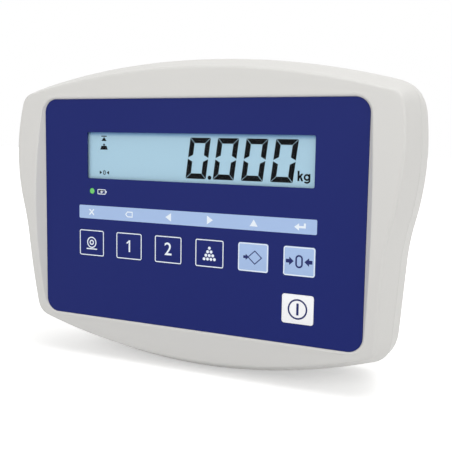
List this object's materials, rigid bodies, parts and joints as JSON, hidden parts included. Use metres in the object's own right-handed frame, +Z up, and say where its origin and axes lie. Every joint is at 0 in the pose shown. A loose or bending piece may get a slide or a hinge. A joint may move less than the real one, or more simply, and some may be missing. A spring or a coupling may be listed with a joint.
{
  "type": "weighing indicator",
  "caption": "Plastic weighing indicator with a segment display, a membrane key panel, a rear battery door and a connector bay with a cable gland.",
  "frame": {"origin": "middle of the base, on the surface that the feet stand on", "axes": "+X to the user's right, +Y away from the user into the panel, +Z up"},
  "size_m": [0.2792, 0.0763, 0.2003],
  "materials": {
    "shell": "fine textured moulding",
    "panel_film": "satin printed film",
    "key_light": "satin printed film",
    "key_white": "satin printed film",
    "clear_window": "polished, clear",
    "black_rubber": "matt",
    "zinc_steel": "bright zinc plate",
    "black_plastic": "moulded",
    "led_green": "tinted clear resin",
    "lcd_ink": "flat",
    "lcd_glass": "polished",
    "white_plastic": "diffusing",
    "circuit_board": "solder mask",
    "contact": "bright",
    "ribbon": "flexible",
    "capacitor_sleeve": "shrink sleeve",
    "alu": "extruded",
    "fuse_glass": "clear",
    "battery_case": "moulded",
    "lead_jacket": "smooth"
  },
  "bodies": {
    "case": {"front_shell": "shell", "rear_shell": "shell", "keypad_overlay": "panel_film", "display_window": "clear_window", "case_seal": "black_rubber", "gland_seal": "black_rubber", "rubber_feet": "black_rubber", "case_screws": "zinc_steel", "switch_board_screws": "zinc_steel", "lcd_board_screws": "zinc_steel", "main_board_screws": "zinc_steel", "serial_standoffs": "zinc_steel", "dc_jack_pin": "zinc_steel", "converter_can": "zinc_steel", "serial_connector": "zinc_steel", "switch_bodies": "black_plastic", "ribbon_plugs": "black_plastic", "processor": "black_plastic", "regulator": "black_plastic", "buzzer": "black_plastic", "dc_jack": "black_plastic", "gland_body": "black_plastic", "gland_cap": "black_plastic", "gland_nut": "black_plastic", "charge_led": "led_green", "led_lens": "led_green", "lcd_digits": "lcd_ink", "lcd_glass": "lcd_glass", "lcd_backlight": "white_plastic", "lcd_frame": "white_plastic", "switch_board": "circuit_board", "lcd_board": "circuit_board", "main_board": "circuit_board", "lcd_pins": "contact", "serial_pins": "contact", "battery_tabs": "contact", "fuse_clips": "contact", "bracket_inserts": "contact", "ribbon_cable": "ribbon", "capacitors": "capacitor_sleeve", "heat_sink": "alu", "fuse": "fuse_glass", "battery": "battery_case", "battery_leads": "lead_jacket"},
    "key_print": {"key_print": "panel_film", "plunger_print": "black_plastic"},
    "key_function": {"key_function": "panel_film", "plunger_function": "black_plastic"},
    "key_units": {"key_units": "panel_film", "plunger_units": "black_plastic"},
    "key_count": {"key_count": "panel_film", "plunger_count": "black_plastic"},
    "key_tare": {"key_tare": "key_light", "plunger_tare": "black_plastic"},
    "key_zero": {"key_zero": "key_light", "plunger_zero": "black_plastic"},
    "key_power": {"key_power": "key_white", "plunger_power": "black_plastic"},
    "battery_cover": {"battery_cover": "shell", "cover_screws": "zinc_steel"}
  },
  "joints": [
    {"name": "press_print", "type": "slide", "parent": "case", "child": "key_print", "axis": [0, 1, 0], "range_m": [0, 0.0004], "stiffness_N_per_m": 4000},
    {"name": "press_function", "type": "slide", "parent": "case", "child": "key_function", "axis": [0, 1, 0], "range_m": [0, 0.0004], "stiffness_N_per_m": 4000},
    {"name": "press_units", "type": "slide", "parent": "case", "child": "key_units", "axis": [0, 1, 0], "range_m": [0, 0.0004], "stiffness_N_per_m": 4000},
    {"name": "press_count", "type": "slide", "parent": "case", "child": "key_count", "axis": [0, 1, 0], "range_m": [0, 0.0004], "stiffness_N_per_m": 4000},
    {"name": "press_tare", "type": "slide", "parent": "case", "child": "key_tare", "axis": [0, 1, 0], "range_m": [0, 0.0004], "stiffness_N_per_m": 4000},
    {"name": "press_zero", "type": "slide", "parent": "case", "child": "key_zero", "axis": [0, 1, 0], "range_m": [0, 0.0004], "stiffness_N_per_m": 4000},
    {"name": "press_power", "type": "slide", "parent": "case", "child": "key_power", "axis": [0, 1, 0], "range_m": [0, 0.0004], "stiffness_N_per_m": 4000},
    {"name": "battery_cover_off", "type": "slide", "parent": "case", "child": "battery_cover", "axis": [0, 1, 0], "range_m": [0, 0.04]}
  ]
}
